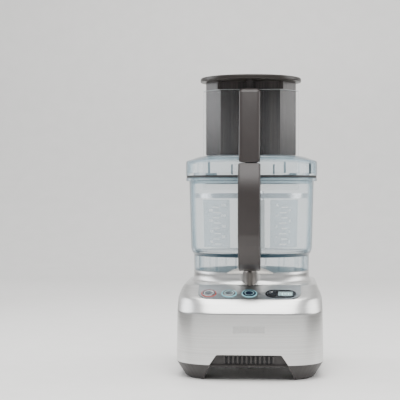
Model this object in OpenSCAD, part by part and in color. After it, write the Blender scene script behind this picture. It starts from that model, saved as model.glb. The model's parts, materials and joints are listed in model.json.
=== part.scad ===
// Food processor: a motor base with a sloping control panel, a clear work bowl with a D handle,
// a clear lid with a wide feed chute, two nested pushers and a slicing disc on a spindle.
// Millimetres. +Z is up and the front faces -Y. The origin is on the bench, at the centre of the
// machine's box. The bowl, lid, disc and motor share one upright axis, set back from the centre.

/* [Base] */
// Width of the base at its foot
base_w = 209; // [208:1:210]
// Depth of the base at its foot
base_d = 266; // [264:1:268]
// Corner radius of the base's outline
base_corner = 58; // [56:1:60]
// Height of the housing's lower edge above the bench
skirt_z = 22; // [21.5:0.5:22.5]
// Height of the crease where the front face turns into the bevel
crease_z = 94.5; // [93:0.5:95]
// Height of the flat deck around the collar
deck_z = 129; // [128.5:0.5:129.5]
// Wall of the housing
shell = 3; // [2.6:0.2:3.2]
// Distance of the bowl's axis behind the centre of the base
axis_y = 17; // [16.5:0.5:17.5]

/* [Control panel] */
// Tilt of the panel from level
panel_tilt = 23.3; // [23:0.1:23.6]
// Diameter of a round button
button_d = 18.4; // [17.6:0.2:18.8]
// Distance from one button to the next
button_pitch = 28.5; // [27.5:0.5:29]
// Height of the ring around a button
ring_h = 0.8; // [0.6:0.1:1]

/* [Bowl] */
// Outer radius of the bowl under its rim
bowl_r = 93.3; // [93:0.1:93.6]
// Outer radius of the bowl at its lower corner
bowl_low_r = 90.5; // [90:0.5:91]
// Wall of the bowl and of the lid
clear_wall = 3; // [2.8:0.1:3.1]
// Outer radius of the rim, which the lid shares
rim_r = 98.3; // [98:0.1:98.6]
// Outer radius of the skirt, which the collar shares
skirt_r = 86; // [85.8:0.1:86.2]
// Height of the collar's top
collar_z = 145; // [144.8:0.1:145.2]
// Height of the bowl floor's underside
floor_z = 170; // [169.5:0.5:170.5]
// Height of the bowl rim's top
rim_z = 282; // [281.8:0.1:282.2]

/* [Handle] */
// Width of the bowl handle
handle_w = 31; // [30:0.5:32]

/* [Lid and chute] */
// Height of the top edge of the lid's rim
lid_z = 307.5; // [307:0.5:308]
// Width of the feed chute
chute_w = 140; // [139:0.5:141]
// Height of the feed chute's top
chute_z = 410; // [409.5:0.5:410.5]
// Height of the feed chute's lower end, above the disc
chute_low_z = 264; // [263.5:0.5:264.5]

/* [Pushers] */
// Height of the underside of the pusher's cap
cap_z = 421.5; // [421:0.5:422]
// Radius of the pusher's round cap
cap_r = 73.8; // [73:0.2:74.4]
// Radius of the small pusher
small_r = 19; // [18.5:0.5:19]

/* [Drive] */
// Radius of the motor shaft
shaft_r = 6; // [5.8:0.1:6]
// Radius of the slicing disc
disc_r = 86.5; // [86:0.5:87]

/* [Hidden] */
$fn = 64;

silver = [0.78, 0.78, 0.77];
charcoal = [0.24, 0.22, 0.22];
near_black = [0.08, 0.08, 0.09];
clear_blue = [0.72, 0.87, 0.93, 0.35];
steel = [0.66, 0.67, 0.69];
eps = 0.01;

cap_top_z = cap_z + 6.5;
collar_in_r = skirt_r - 3;
flare_r = skirt_r + 10.5;
hub_r = 22;
hub_z = collar_z + 4;
bore_r = 13;
lid_under_z = rim_z + 3.5;
centre_top_z = lid_z + 7;
latch_w = handle_w - 1.4;
latch_low_z = 302.5;
handle_top_z = latch_low_z - 0.6;
ledge_z = 112;
ledge_f = 133;
deck_f = 93.5;
panel_mid_y = axis_y - (ledge_f + deck_f) / 2;
panel_mid_z = (ledge_z + deck_z) / 2;
panel_half_w = 72;
panel_half_d = 21.3;
plate_t = 2;
off_x = -2 * button_pitch;
start_x = -button_pitch;
pulse_x = 0;
display_x = 44;
rocker_x = 31.5;
lcd_x = 50.5;
controls_y = -5.3;
button_r = button_d / 2;
tower_x = 70;
tower_y = 100;
foot_x = 74;
foot_y = 97;
foot_r = 9;
gland_z = 29;
gland_bore_r = 3.6;
badge_z = 71;
motor_z = 40;
pusher_gap = 0.8;
pusher_wall = 2.4;
pusher_low_z = centre_top_z + 0.5;
mid_chute_y = -40;
plunger_y = -92.3;
rod_y = -123.5;
tab_y = -90;
coupling_z = 190;
coupling_top_z = 216;
tube_z = 222;
disc_z = 255;

// Feed chute's outline about the bowl's axis, with its flat front towards -Y.
chute_outline = [
    [-45, -68], [45, -68], [chute_w / 2, -36], [chute_w / 2, -21],
    [58, -12], [-58, -12], [-chute_w / 2, -21], [-chute_w / 2, -36]
];

function unit(v) = v / norm(v);
function left_of(v) = [-v.y, v.x];
// An outline that runs anticlockwise, with every side moved in by d.
function inset(points, d) = let (n = len(points)) [
    for (i = [0:n - 1])
        let (
            before = left_of(unit(points[i] - points[(i + n - 1) % n])),
            after = left_of(unit(points[(i + 1) % n] - points[i]))
        ) points[i] + d * (before + after) / (1 + before * after)
];

module about_axis() { translate([0, axis_y, 0]) children(); }
// Places children on the panel: the panel's face is z = 0 and -y runs down the slope.
module on_panel() { translate([0, panel_mid_y, panel_mid_z]) rotate([panel_tilt, 0, 0]) children(); }
module at_controls() { on_panel() translate([0, controls_y, 0]) children(); }
module mirrored_x() { children(); mirror([1, 0, 0]) children(); }
module four_corners(x, y) { for (sx = [-1, 1], sy = [-1, 1]) translate([sx * x, sy * y, 0]) children(); }
// Draws a side profile, given as [distance in front of the bowl's axis, height], across the width w.
module side_profile(points, w) {
    about_axis() translate([-w / 2, 0, 0]) rotate([90, 0, 90]) linear_extrude(w)
        polygon([for (p = points) [-p[0], p[1]]]);
}
module tube(r_out, r_in, z0, z1) {
    translate([0, 0, z0]) difference() {
        cylinder(r = r_out, h = z1 - z0);
        translate([0, 0, -1]) cylinder(r = r_in, h = z1 - z0 + 2);
    }
}

// Rectangle with round corners, from y0 to y1.
module rounded(half_w, y0, y1, r) {
    translate([-half_w, y0 + r]) square([2 * half_w, y1 - y0 - 2 * r]);
    translate([-half_w + r, y0]) square([2 * half_w - 2 * r, y1 - y0]);
    for (x = [-half_w + r, half_w - r], y = [y0 + r, y1 - r]) translate([x, y]) circle(r = r, $fn = 48);
}
module stadium(w, d) {
    square([w - d, d], center = true);
    for (x = [-(w - d) / 2, (w - d) / 2]) translate([x, 0]) circle(d = d);
}
module slab(z, half_w, y0, y1, r) { translate([0, 0, z]) linear_extrude(eps) rounded(half_w, y0, y1, r); }

// Convex body of the base, every wall moved in by d: foot, crease, top of the bevel and deck.
module base_body(d, top_z) {
    hull() {
        slab(skirt_z - (d > 0 ? 1 : 0), base_w / 2 - d, -base_d / 2 + d, base_d / 2 - d, base_corner - d);
        slab(crease_z, base_w / 2 - 1.2 - d, -base_d / 2 + 0.4 + d, base_d / 2 - 1.5 - d,
             base_corner - 1 - d);
        slab(ledge_z - d, base_w / 2 - 2 - d, axis_y - ledge_f + d, base_d / 2 - 8 - d, 52 - d);
        slab(top_z - eps, base_w / 2 - 9.5 - d, axis_y - deck_f + d, base_d / 2 - 21 - d, 30 - d);
    }
}
// Outline of the panel, grown by d: its front corners are round and its rear corners are square.
module panel_outline(d) {
    rounded(panel_half_w + d, -panel_half_d - d, panel_half_d + d, 20 + d);
    translate([-panel_half_w - d, 0]) square([2 * (panel_half_w + d), panel_half_d + d]);
}
// Everything above the sloping panel's seat, lowered by d.
module panel_cut(d) {
    on_panel() translate([0, 0, -plate_t - d]) linear_extrude(30) panel_outline(0.2 + d);
}
module notch() {
    rotate([90, 0, 0]) linear_extrude(base_d + 40, center = true)
        polygon([[-56, skirt_z - 1], [56, skirt_z - 1], [45, skirt_z + 14], [-45, skirt_z + 14]]);
}
module towers() {
    difference() {
        four_corners(tower_x, tower_y) translate([0, 0, skirt_z]) cylinder(r = 4.5, h = deck_z);
        four_corners(tower_x, tower_y) translate([0, 0, skirt_z - 1]) cylinder(r = 1.75, h = 22);
    }
}
// Arched lip that stands up from the collar, and the boss behind the handle that guides the plunger.
module arch_lug() {
    lug_z = collar_z + 9.4;
    arc_r = (33 * 33 + 9.4 * 9.4) / (2 * 9.4);
    lip_r = skirt_r + 3.4;
    intersection() {
        about_axis() {
            tube(lip_r, skirt_r - 1, deck_z - 4, collar_z);
            tube(lip_r, skirt_r + 0.6, collar_z - 1, lug_z);
        }
        translate([0, axis_y, lug_z - arc_r]) rotate([90, 0, 0]) cylinder(r = arc_r, h = 120, $fn = 128);
        translate([-40, axis_y - 110, deck_z - 4]) cube([80, 50, 40]);
    }
    intersection() {
        about_axis() tube(flare_r, lip_r - 1, deck_z - 4, lug_z - 1.4);
        translate([-9, axis_y - 110, deck_z - 4]) cube([18, 50, 40]);
    }
}
// Collar that the bowl stands in, with a hollow flare down to the deck.
module collar() {
    about_axis() rotate_extrude($fn = 96) polygon([
        [0, deck_z - 4], [flare_r, deck_z - 4], [flare_r, deck_z + 0.4], [skirt_r + 5.5, deck_z + 1.6],
        [skirt_r + 2.2, deck_z + 3.6], [skirt_r + 0.6, deck_z + 6.2], [skirt_r, deck_z + 9.5],
        [skirt_r, collar_z], [0, collar_z]
    ]);
}
module panel_openings() {
    at_controls() {
        for (x = [off_x, start_x, pulse_x]) translate([x, 0, -20]) cylinder(r = button_r + 0.4, h = 25);
        translate([rocker_x, 0, -20]) cylinder(r = 8.5, h = 25);
        translate([lcd_x - 13, -7.5, -20]) cube([26, 15, 25]);
    }
}
module base_housing() {
    color(silver) difference() {
        union() {
            difference() { base_body(0, deck_z); panel_cut(0); }
            collar();
            arch_lug();
        }
        difference() {
            base_body(shell, deck_z - shell);
            towers();
            panel_cut(shell);
            for (p = [[-42.5, 0], [15, 0], [58, -11.5]]) at_controls() translate([p.x, p.y, -13])
                cylinder(r = 3, h = 12);
            for (x = [-8, 8]) about_axis() translate([x, plunger_y, 116.4]) cylinder(r = 2, h = 10);
        }
        about_axis() {
            tube(collar_in_r, hub_r, deck_z + shell, collar_z + 1);
            translate([0, 0, deck_z - 10]) cylinder(r = bore_r, h = 60);
            translate([0, plunger_y, deck_z - 10]) cylinder(r = 2.7, h = 60);
        }
        panel_openings();
        notch();
        translate([-22.05, -base_d / 2 - 1, badge_z - 4.55]) cube([44.1, 1.85, 9.1]);
    }
    color(silver) about_axis() tube(hub_r, bore_r, deck_z, hub_z);
}

// Dark tray under the housing: floor, upright ring inside the housing, vents and four tapered legs.
module base_pan() {
    floor_low_z = skirt_z - 3;
    ring_d = shell + 1.5;
    color(charcoal) difference() {
        union() {
            intersection() {
                hull() {
                    slab(skirt_z - eps, base_w / 2, -base_d / 2, base_d / 2, base_corner);
                    slab(1.2, base_w / 2 - 13, -base_d / 2 + 10, base_d / 2 - 10, base_corner - 8);
                }
                union() {
                    translate([-base_w / 2, -base_d / 2, floor_low_z]) cube([base_w, base_d, 3]);
                    four_legs();
                }
            }
            translate([0, 0, skirt_z - eps]) linear_extrude(16) difference() {
                rounded(base_w / 2 - ring_d, -base_d / 2 + ring_d, base_d / 2 - ring_d, base_corner - ring_d);
                rounded(base_w / 2 - ring_d - 2.5, -base_d / 2 + ring_d + 2.5, base_d / 2 - ring_d - 2.5,
                        base_corner - ring_d - 2.5);
            }
        }
        for (x = [-5:5]) translate([x * 6.2 - 1.6, -base_d / 2, skirt_z + 1]) cube([3.2, 12, 11]);
        for (a = [0:30:330]) about_axis() rotate(a) translate([16, -2.2, floor_low_z - 1]) cube([24, 4.4, 6]);
        four_corners(foot_x, foot_y) translate([0, 0, -1]) cylinder(r = foot_r + 0.2, h = 4.2);
        four_corners(tower_x, tower_y) translate([0, 0, 3]) cylinder(r = 1.9, h = 30);
        four_corners(tower_x, tower_y) translate([0, 0, 3]) cylinder(r = 3.6, h = skirt_z - 8);
        translate([0, base_d / 2, gland_z]) rotate([90, 0, 0]) cylinder(r = 6.6, h = 40);
        translate([-54, -base_d / 2 - 1, floor_low_z - 1]) cube([108, 5.5, 4 - eps]);
    }
}
module four_legs() {
    for (sy = [-1, 1]) translate([0, sy * (base_d / 2 - 32), 0]) mirrored_x()
        rotate([90, 0, 0]) linear_extrude(64, center = true)
            polygon([[64, 0], [base_w / 2, 0], [base_w / 2, skirt_z], [54, skirt_z]]);
}
module rubber_feet() { color(near_black) four_corners(foot_x, foot_y) cylinder(r = foot_r, h = 3.2); }
module pan_screws() {
    color(steel) four_corners(tower_x, tower_y) {
        translate([0, 0, skirt_z - 7.4]) cylinder(r = 3.2, h = 2.4);
        translate([0, 0, skirt_z - 5.2]) cylinder(r = 1.65, h = 22);
    }
}
module badge_plate() {
    color([0.7, 0.7, 0.7]) translate([-22, -base_d / 2, badge_z - 4.5]) cube([44, 0.85, 9]);
}

module control_panel() {
    color([0.6, 0.6, 0.6]) difference() {
        on_panel() translate([0, 0, -plate_t]) linear_extrude(plate_t) panel_outline(0);
        panel_openings();
        at_controls() translate([display_x, 0, -3]) linear_extrude(6) stadium(43.6, 22.6);
        about_axis() translate([0, 0, deck_z - 30]) cylinder(r = flare_r + 0.2, h = 60);
    }
}
module button_ring(x) {
    at_controls() translate([x, 0, 0]) difference() {
        cylinder(r = button_r + 2, h = ring_h);
        translate([0, 0, -1]) cylinder(r = button_r + 0.3, h = 4);
    }
}
module off_button_ring() { color([0.75, 0.2, 0.2]) button_ring(off_x); }
module start_button_ring() { color([0.4, 0.75, 0.85]) button_ring(start_x); }
module pulse_button_ring() { color([0.4, 0.75, 0.85]) button_ring(pulse_x); }
module button(x) {
    at_controls() translate([x, 0, 0]) {
        translate([0, 0, -2.5]) cylinder(r = button_r, h = 4);
        translate([0, 0, -8.2]) cylinder(r = 3, h = 6);
    }
}
module off_button() { color(steel) button(off_x); }
module start_button() { color(steel) button(start_x); }
module pulse_button() { color(steel) button(pulse_x); }
module timer_rocker() {
    color(charcoal) at_controls() translate([rocker_x, 0, 0]) {
        translate([0, 0, -2]) cylinder(r = 7.4, h = 3);
        for (y = [-4.5, 4.5]) {
            translate([-2, y - 0.5, 0.9]) cube([4, 1, 0.5]);
            translate([0, y, -8.9]) cylinder(r = 1.2, h = 7);
        }
    }
}
module display_bezel() {
    color(near_black) at_controls() difference() {
        translate([display_x, 0, -plate_t]) linear_extrude(plate_t + 0.6) stadium(43, 22);
        translate([rocker_x, 0, -3]) cylinder(r = 8, h = 6);
        translate([lcd_x - 10.1, -6.1, -3]) cube([20.2, 12.2, 6]);
    }
}
module display_window() {
    color([0.55, 0.75, 0.75, 0.5]) at_controls() translate([lcd_x - 10, -6, -0.5]) cube([20, 12, 1]);
}
module display_module() {
    color([0.35, 0.5, 0.5]) at_controls() translate([lcd_x - 10, -6, -13]) cube([20, 12, 12.4]);
}
module control_board() {
    color([0.1, 0.35, 0.2]) at_controls() translate([-64, -16, -14.6]) cube([128, 24, 1.6]);
}
module tactile_switch() {
    translate([-3, -3, -13]) cube([6, 6, 2.6]);
    translate([0, 0, -10.5]) cylinder(r = 1.7, h = 0.9);
}
module tactile_switches() {
    color(near_black) at_controls() {
        for (x = [off_x, start_x, pulse_x]) translate([x, 0, 0]) tactile_switch();
        for (y = [-4.5, 4.5]) translate([rocker_x, y, 0]) tactile_switch();
    }
}

// Induction motor: everything is placed from the underside of its lower end bell.
module motor_stator() {
    color([0.5, 0.5, 0.52]) about_axis() difference() {
        intersection() {
            translate([0, 0, motor_z + 12]) cylinder(r = 58, h = 50);
            translate([-52, -52, motor_z]) cube([104, 104, 70]);
        }
        translate([0, 0, motor_z]) cylinder(r = 29, h = 70);
        for (a = [0:30:330]) rotate(a) translate([28, -2, motor_z]) cube([14, 4, 70]);
        four_corners(40, 40) translate([0, 0, motor_z]) cylinder(r = 2.6, h = 70);
    }
}
module winding(z0, z1) { about_axis() tube(48, 32, motor_z + z0, motor_z + z1); }
module motor_windings() { color([0.72, 0.4, 0.2]) { winding(5, 11.8); winding(62.2, 68.6); } }
module end_bell(z, boss_z0, boss_z1) {
    about_axis() translate([0, 0, motor_z]) difference() {
        union() {
            translate([0, 0, z]) cylinder(r = 62, h = 4);
            translate([0, 0, boss_z0]) cylinder(r = 15, h = boss_z1 - boss_z0);
        }
        translate([0, 0, boss_z0 - 5]) cylinder(r = 11.02, h = boss_z1 - boss_z0 + 10);
        for (a = [45:90:315]) rotate(a) translate([26, -3, z - 1]) cube([16, 6, 6]);
        four_corners(40, 40) translate([0, 0, z - 1]) cylinder(r = 2.25, h = 6);
    }
}
module motor_end_bell_top() { color(steel) end_bell(69, 69, 81); }
module motor_end_bell_bottom() { color(steel) end_bell(0, -7, 4); }
module motor_bolts() {
    color(steel) about_axis() four_corners(40, 40) translate([0, 0, motor_z]) {
        translate([0, 0, -3]) cylinder(r = 4, h = 3 - eps);
        translate([0, 0, -0.1]) cylinder(r = 2.2, h = 73);
    }
}
module motor_mounts() {
    color(near_black) about_axis() for (a = [0:90:270]) rotate(a) translate([52, 0, 0])
        tube(7, 2, motor_z + 73.05, deck_z - shell - 0.05);
}
module bearing(z0, z1) { about_axis() tube(11, shaft_r + 0.05, motor_z + z0, motor_z + z1); }
module upper_bearing() { color(steel) bearing(72, 81); }
module lower_bearing() { color(steel) bearing(-7, 0); }
module shaft_seal() {
    color(near_black) about_axis() tube(bore_r - 0.02, shaft_r + 0.05, hub_z - 7, hub_z - 1);
}
module run_capacitor() {
    color([0.85, 0.85, 0.8]) translate([-76, 62, skirt_z + 0.05]) cylinder(r = 15, h = 52);
}
module interlock_switch() {
    color(near_black) about_axis() difference() {
        translate([-10, plunger_y - 5.2, 102.5]) cube([20, 10.4, 13.9]);
        translate([0, plunger_y, 115.4]) cylinder(r = 3, h = 4);
    }
}
// Pin through the lug that the handle's rod holds down on the switch.
module interlock_plunger() {
    color(steel) about_axis() translate([0, plunger_y, 0]) {
        translate([0, 0, 115.8]) cylinder(r = 2.6, h = 41);
        translate([0, 0, 116.4]) cylinder(r = 4.2, h = 1.6);
    }
}
module cord_gland() {
    color(near_black) translate([0, base_d / 2 - 1, gland_z]) rotate([90, 0, 0]) difference() {
        union() {
            cylinder(r = 6.5, h = 19.5);
            translate([0, 0, 1.3]) cylinder(r = 6.9, h = 2);
        }
        translate([0, 0, -1]) cylinder(r = gland_bore_r, h = 22);
    }
}
module motor_rotor() {
    color([0.45, 0.45, 0.47]) about_axis() tube(28.4, shaft_r + 0.02, motor_z + 11, motor_z + 63);
}
module motor_shaft() {
    color(steel) about_axis() translate([0, 0, motor_z - 16.5])
        cylinder(r = shaft_r, h = coupling_z + 40.5 - motor_z);
}
module cooling_fan() {
    color([0.9, 0.9, 0.88]) about_axis() translate([0, 0, motor_z - 16]) difference() {
        union() {
            cylinder(r = 10, h = 7.5);
            for (a = [0:40:320]) rotate(a) translate([9, -1, 0]) rotate([24, 0, 0]) cube([34, 1.6, 6]);
        }
        translate([0, 0, -10]) cylinder(r = shaft_r + 0.02, h = 30);
    }
}
module drive_coupling() {
    color(steel) about_axis() difference() {
        union() {
            translate([0, 0, hub_z + 1]) cylinder(r = 10, h = 6);
            translate([0, 0, hub_z + 6]) cylinder(r = 8, h = coupling_z - hub_z - 6 + eps);
            translate([0, 0, coupling_z]) cylinder(r = 8, h = coupling_top_z - coupling_z, $fn = 6);
        }
        translate([0, 0, hub_z - 5]) cylinder(r = shaft_r + 0.02, h = coupling_z + 24.05 - hub_z + 5);
    }
}

// Bowl's outer shape, grown by d, from the spigot inside the collar up to the rim.
module bowl_shape(d) {
    rotate_extrude($fn = 96) polygon([
        [0, collar_z - 12 - d], [collar_in_r - 0.5 + d, collar_z - 12 - d],
        [collar_in_r - 0.5 + d, collar_z + 0.2 - d], [skirt_r + d, collar_z + 0.2 - d],
        [skirt_r + d, floor_z - 2], [bowl_low_r - 1.6 + d, floor_z + 2], [bowl_low_r + d, floor_z + 8],
        [bowl_r + d, rim_z - 5 - d], [rim_r + d, rim_z - 5 - d], [rim_r + d, rim_z + d], [0, rim_z + d]
    ]);
}
module bowl() {
    inner_floor_z = floor_z + clear_wall;
    color(clear_blue) about_axis() difference() {
        bowl_shape(0);
        rotate_extrude($fn = 96) polygon([
            [15, inner_floor_z], [bowl_low_r - clear_wall - 6, inner_floor_z],
            [bowl_low_r - clear_wall - 2, inner_floor_z + 2], [bowl_low_r - clear_wall, inner_floor_z + 7],
            [bowl_r - clear_wall, rim_z - 7], [bowl_r - 1, rim_z - 4], [bowl_r - 1, rim_z + 1],
            [0, rim_z + 1], [0, tube_z], [15, tube_z]
        ]);
        translate([0, 0, collar_z - 13]) cylinder(r = 12, h = 120);
        tube(collar_in_r - clear_wall - 0.5, 15, collar_z - 13, floor_z);
        translate([0, 0, collar_z - 13]) cylinder(r = 15.5, h = floor_z - collar_z + 10);
        tube(skirt_r - clear_wall, collar_in_r - clear_wall - 1, collar_z + 3.2, floor_z);
    }
}

// Side of the handle: a D that leaves the bowl under the rim and comes back to it over the lug.
handle_points = [
    [84, 256], [84, 276], [99.6, 276], [99.6, handle_top_z], [133, handle_top_z],
    [138.5, 291], [143.5, 278], [147, 264], [148, 250], [148, 200], [144.5, 186], [138, 173],
    [129, 160], [121, 152.5], [112, 149.5], [102, 149.8], [99.5, 152], [99.5, 156], [84, 156],
    [84, 180], [105, 180], [112, 183.5], [116, 190], [117, 198], [117, 240], [115, 248], [109, 254.5],
    [101, 257]
];
// Hollow of the grip, with its front wall as thick as the handle's sides.
grip_hollow_points = [
    [120, 196], [143, 202], [144, 250], [143, 262], [139, 277], [131, 296], [120, 296]
];
cover_screws = [for (x = [-8.5, 8.5], z = [201, 235]) [x, z]];
module bowl_handle() {
    color(charcoal) difference() {
        union() {
            difference() {
                side_profile(handle_points, handle_w);
                about_axis() bowl_shape(0.05);
                side_profile(grip_hollow_points, handle_w - 6);
            }
            for (p = cover_screws) about_axis() translate([p[0], -144.05, p[1]])
                rotate([-90, 0, 0]) cylinder(r = 3, h = 24);
        }
        for (p = cover_screws) about_axis() translate([p[0], -138, p[1]])
            rotate([-90, 0, 0]) cylinder(r = 1.45, h = 18);
        side_profile([[120, 162.5], [127, 162.5], [127, 310], [120, 310]], 9);
        side_profile([[88, 162.5], [127, 162.5], [127, 175], [88, 175]], 9);
        side_profile([[88, 150], [96.6, 150], [96.6, 163], [88, 163]], 9);
        side_profile([[110, 194], [121, 194], [121, 242], [110, 242]], handle_w - 6);
    }
}
module handle_cover() {
    color(charcoal) difference() {
        side_profile([[117, 194.3], [120, 194.3], [120, 241.7], [117, 241.7]], handle_w - 6.6);
        for (p = cover_screws) about_axis() translate([p[0], -130, p[1]]) rotate([-90, 0, 0]) {
            cylinder(r = 1.6, h = 20);
            translate([0, 0, 11.5]) cylinder(r = 2.9, h = 5);
        }
    }
}
module handle_screws() {
    color(steel) about_axis() for (p = cover_screws) translate([p[0], -136, p[1]]) rotate([-90, 0, 0]) {
        cylinder(r = 1.4, h = 18);
        translate([0, 0, 17.55]) cylinder(r = 2.6, h = 1.2);
    }
}
// Rod in the grip, with a foot that reaches back under the bowl to the plunger in the lug.
module handle_rod() {
    color(steel) {
        side_profile([[121, 164], [126, 164], [126, handle_top_z - 0.2], [121, handle_top_z - 0.2]], 6);
        side_profile([
            [89.3, 157.2], [95.3, 157.2], [95.3, 164], [126, 164], [126, 169], [89.3, 169]
        ], 6);
    }
}

module disc_spindle() {
    color([0.85, 0.85, 0.83]) about_axis() difference() {
        union() {
            tube(20, 15.8, floor_z + 6, disc_z - 6);
            translate([0, 0, disc_z - 16]) cylinder(r = 20, h = 10);
            translate([0, 0, coupling_z + 4]) cylinder(r = 11.3, h = disc_z - 10 - coupling_z);
            translate([0, 0, disc_z - 6.1]) cylinder(r = 12, h = 4);
            translate([0, 0, disc_z - 3]) cylinder(r = 4.05, h = 48);
        }
        translate([0, 0, coupling_z - 10]) cylinder(r = 8.4, h = coupling_top_z - coupling_z + 11, $fn = 6);
    }
}
module slicing_disc() {
    color([0.8, 0.81, 0.82]) about_axis() difference() {
        union() {
            translate([0, 0, disc_z]) cylinder(r = disc_r, h = 2.4);
            tube(disc_r, disc_r - 2.5, disc_z - 3, disc_z + 4);
            translate([0, 0, disc_z - 5.95]) cylinder(r = 19, h = 13);
        }
        translate([0, 0, disc_z - 12]) cylinder(r = 12.05, h = 9.95);
        translate([0, 0, disc_z - 12]) cylinder(r = 4.1, h = 30);
        translate([22, -1, disc_z - 2]) cube([disc_r - 28, 13, 10]);
    }
}
module slicer_blade() {
    color(steel) about_axis() translate([20.5, -5.5, disc_z + 2.45]) difference() {
        cube([disc_r - 25, 10, 1.2]);
        for (x = [3.5, disc_r - 28.5]) translate([x, 2.5, -1]) cylinder(r = 1.2, h = 4);
    }
}

module lid_seal() {
    color(near_black) about_axis() tube(rim_r - 1, bowl_r - 3, rim_z + 0.05, lid_under_z - 0.05);
}
module lid() {
    color(clear_blue) about_axis() difference() {
        union() {
            rotate_extrude($fn = 96) polygon([
                [bowl_r - 6.5, rim_z - 9], [bowl_r - 4, rim_z - 9], [bowl_r - 4, lid_under_z],
                [rim_r, lid_under_z], [rim_r, lid_z - 2], [rim_r - 2, lid_z], [76, centre_top_z],
                [0, centre_top_z], [0, centre_top_z - clear_wall], [75, centre_top_z - clear_wall],
                [rim_r - 4, lid_z - clear_wall], [rim_r - 3, lid_z - clear_wall - 2],
                [rim_r - 3, lid_under_z + 3], [bowl_r - 6.5, lid_under_z + 3]
            ]);
            chute_solid(0, chute_low_z, chute_z);
            translate([0, 0, 288]) cylinder(r = 9, h = 24);
        }
        chute_solid(clear_wall, chute_low_z - 1, chute_z + 1);
        translate([0, 0, 280]) cylinder(r = 6.02, h = 22);
    }
}
module chute_solid(d, z0, z1) {
    translate([0, 0, z0]) linear_extrude(z1 - z0) polygon(inset(chute_outline, d));
}
module lid_bush() { color([0.75, 0.6, 0.35]) about_axis() tube(6, 4.1, 288, 301.9); }

// Hollow cover on the front of the chute, over the push rod, and leaning out to meet the handle.
module latch_cover() {
    color(charcoal) difference() {
        side_profile([
            [68.1, 316], [68.1, chute_z - 2], [109, chute_z - 2], [112, chute_z - 3.2], [113.8, chute_z - 6],
            [133, latch_low_z], [100.3, latch_low_z], [100.3, lid_z + 0.2], [78, centre_top_z + 1.2],
            [76, 316]
        ], latch_w);
        side_profile([
            [66, 320], [66, chute_z - 5], [107.5, chute_z - 5], [110.3, chute_z - 8],
            [129.6, latch_low_z - 1], [103.5, latch_low_z - 1], [103.5, lid_z + 2.5], [79, 319]
        ], latch_w - 5);
        translate([-6, axis_y + tab_y - 5, chute_z - 10]) cube([12, 10, 20]);
    }
}
module interlock_rod() {
    color(steel) {
        side_profile([
            [117, latch_low_z + 0.3], [122.6, latch_low_z + 0.3], [122.6, 327], [93, 327], [93, 336],
            [93, 397.5], [87, 397.5], [87, 341], [75, 341], [75, 336], [87, 336], [87, 321], [117, 321]
        ], 6);
    }
}
// Coils of the spring that lifts the push rod when the pusher is out.
module interlock_spring() {
    color(steel) about_axis() for (i = [0:5]) translate([0, -79, 320.4 + i * 2.95])
        rotate_extrude() translate([2.6, 0]) circle(r = 0.45, $fn = 16);
}

module pusher() {
    color(charcoal) difference() {
        about_axis() {
            chute_solid(clear_wall + pusher_gap, pusher_low_z, cap_z - 0.05);
            for (x = [-45.5, 45.5]) translate([x - 2.5, -68, chute_z + 0.1])
                cube([5, 7, cap_z - chute_z - 0.15]);
        }
        about_axis() difference() {
            chute_solid(clear_wall + pusher_gap + pusher_wall, pusher_low_z + pusher_wall, cap_z + 1);
            translate([0, mid_chute_y, 0]) cylinder(r = small_r + 2.6, h = cap_z + 2);
        }
        about_axis() translate([0, mid_chute_y, pusher_low_z - 1]) cylinder(r = small_r + 0.5, h = 200);
    }
}
// Round cap with a soft edge, a shallow dish and the tab that works the push rod.
module pusher_cap() {
    color(charcoal) about_axis() difference() {
        union() {
            translate([0, mid_chute_y, 0]) rotate_extrude($fn = 96) polygon([
                [0, cap_z], [cap_r - 1.8, cap_z], [cap_r - 0.5, cap_z + 0.9], [cap_r, cap_z + 2.6],
                [cap_r - 0.5, cap_z + 4.4], [cap_r - 2.4, cap_z + 5.8], [cap_r - 7, cap_top_z],
                [cap_r - 14, cap_top_z - 0.9], [0, cap_top_z - 0.9]
            ]);
            translate([-4.5, tab_y - 2, 398]) cube([9, 4, cap_z - 398 + eps]);
        }
        translate([0, mid_chute_y, cap_z - 1]) cylinder(r = small_r + 0.5, h = 40);
        translate([0, mid_chute_y, cap_z + 3]) cylinder(r = small_r + 5.4, h = 40);
    }
}
module small_pusher() {
    color(charcoal) about_axis() translate([0, mid_chute_y, 0]) difference() {
        translate([0, 0, pusher_low_z]) cylinder(r = small_r, h = cap_z + 3.05 - pusher_low_z);
        translate([0, 0, pusher_low_z + 2.4]) cylinder(r = small_r - 2.2, h = 200);
    }
}
module small_pusher_cap() {
    color(charcoal) about_axis() translate([0, mid_chute_y, cap_z + 3.1]) {
        cylinder(r = small_r + 5, h = cap_top_z - cap_z - 4.1);
        cylinder(r1 = small_r + 5, r2 = small_r + 3, h = cap_top_z - cap_z - 3.1);
    }
}

base_housing();
base_pan();
rubber_feet();
pan_screws();
badge_plate();
control_panel();
off_button_ring();
start_button_ring();
pulse_button_ring();
off_button();
start_button();
pulse_button();
timer_rocker();
display_bezel();
display_window();
display_module();
control_board();
tactile_switches();
motor_stator();
motor_windings();
motor_end_bell_top();
motor_end_bell_bottom();
motor_bolts();
motor_mounts();
upper_bearing();
lower_bearing();
shaft_seal();
run_capacitor();
interlock_switch();
interlock_plunger();
cord_gland();
motor_rotor();
motor_shaft();
cooling_fan();
drive_coupling();
bowl();
bowl_handle();
handle_cover();
handle_screws();
handle_rod();
disc_spindle();
slicing_disc();
slicer_blade();
lid_seal();
lid();
lid_bush();
latch_cover();
interlock_rod();
interlock_spring();
pusher();
pusher_cap();
small_pusher();
small_pusher_cap();
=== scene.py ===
"""Looks for the food processor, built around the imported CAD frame. Metres, +Z up, front towards -Y."""
import json
import math

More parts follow.
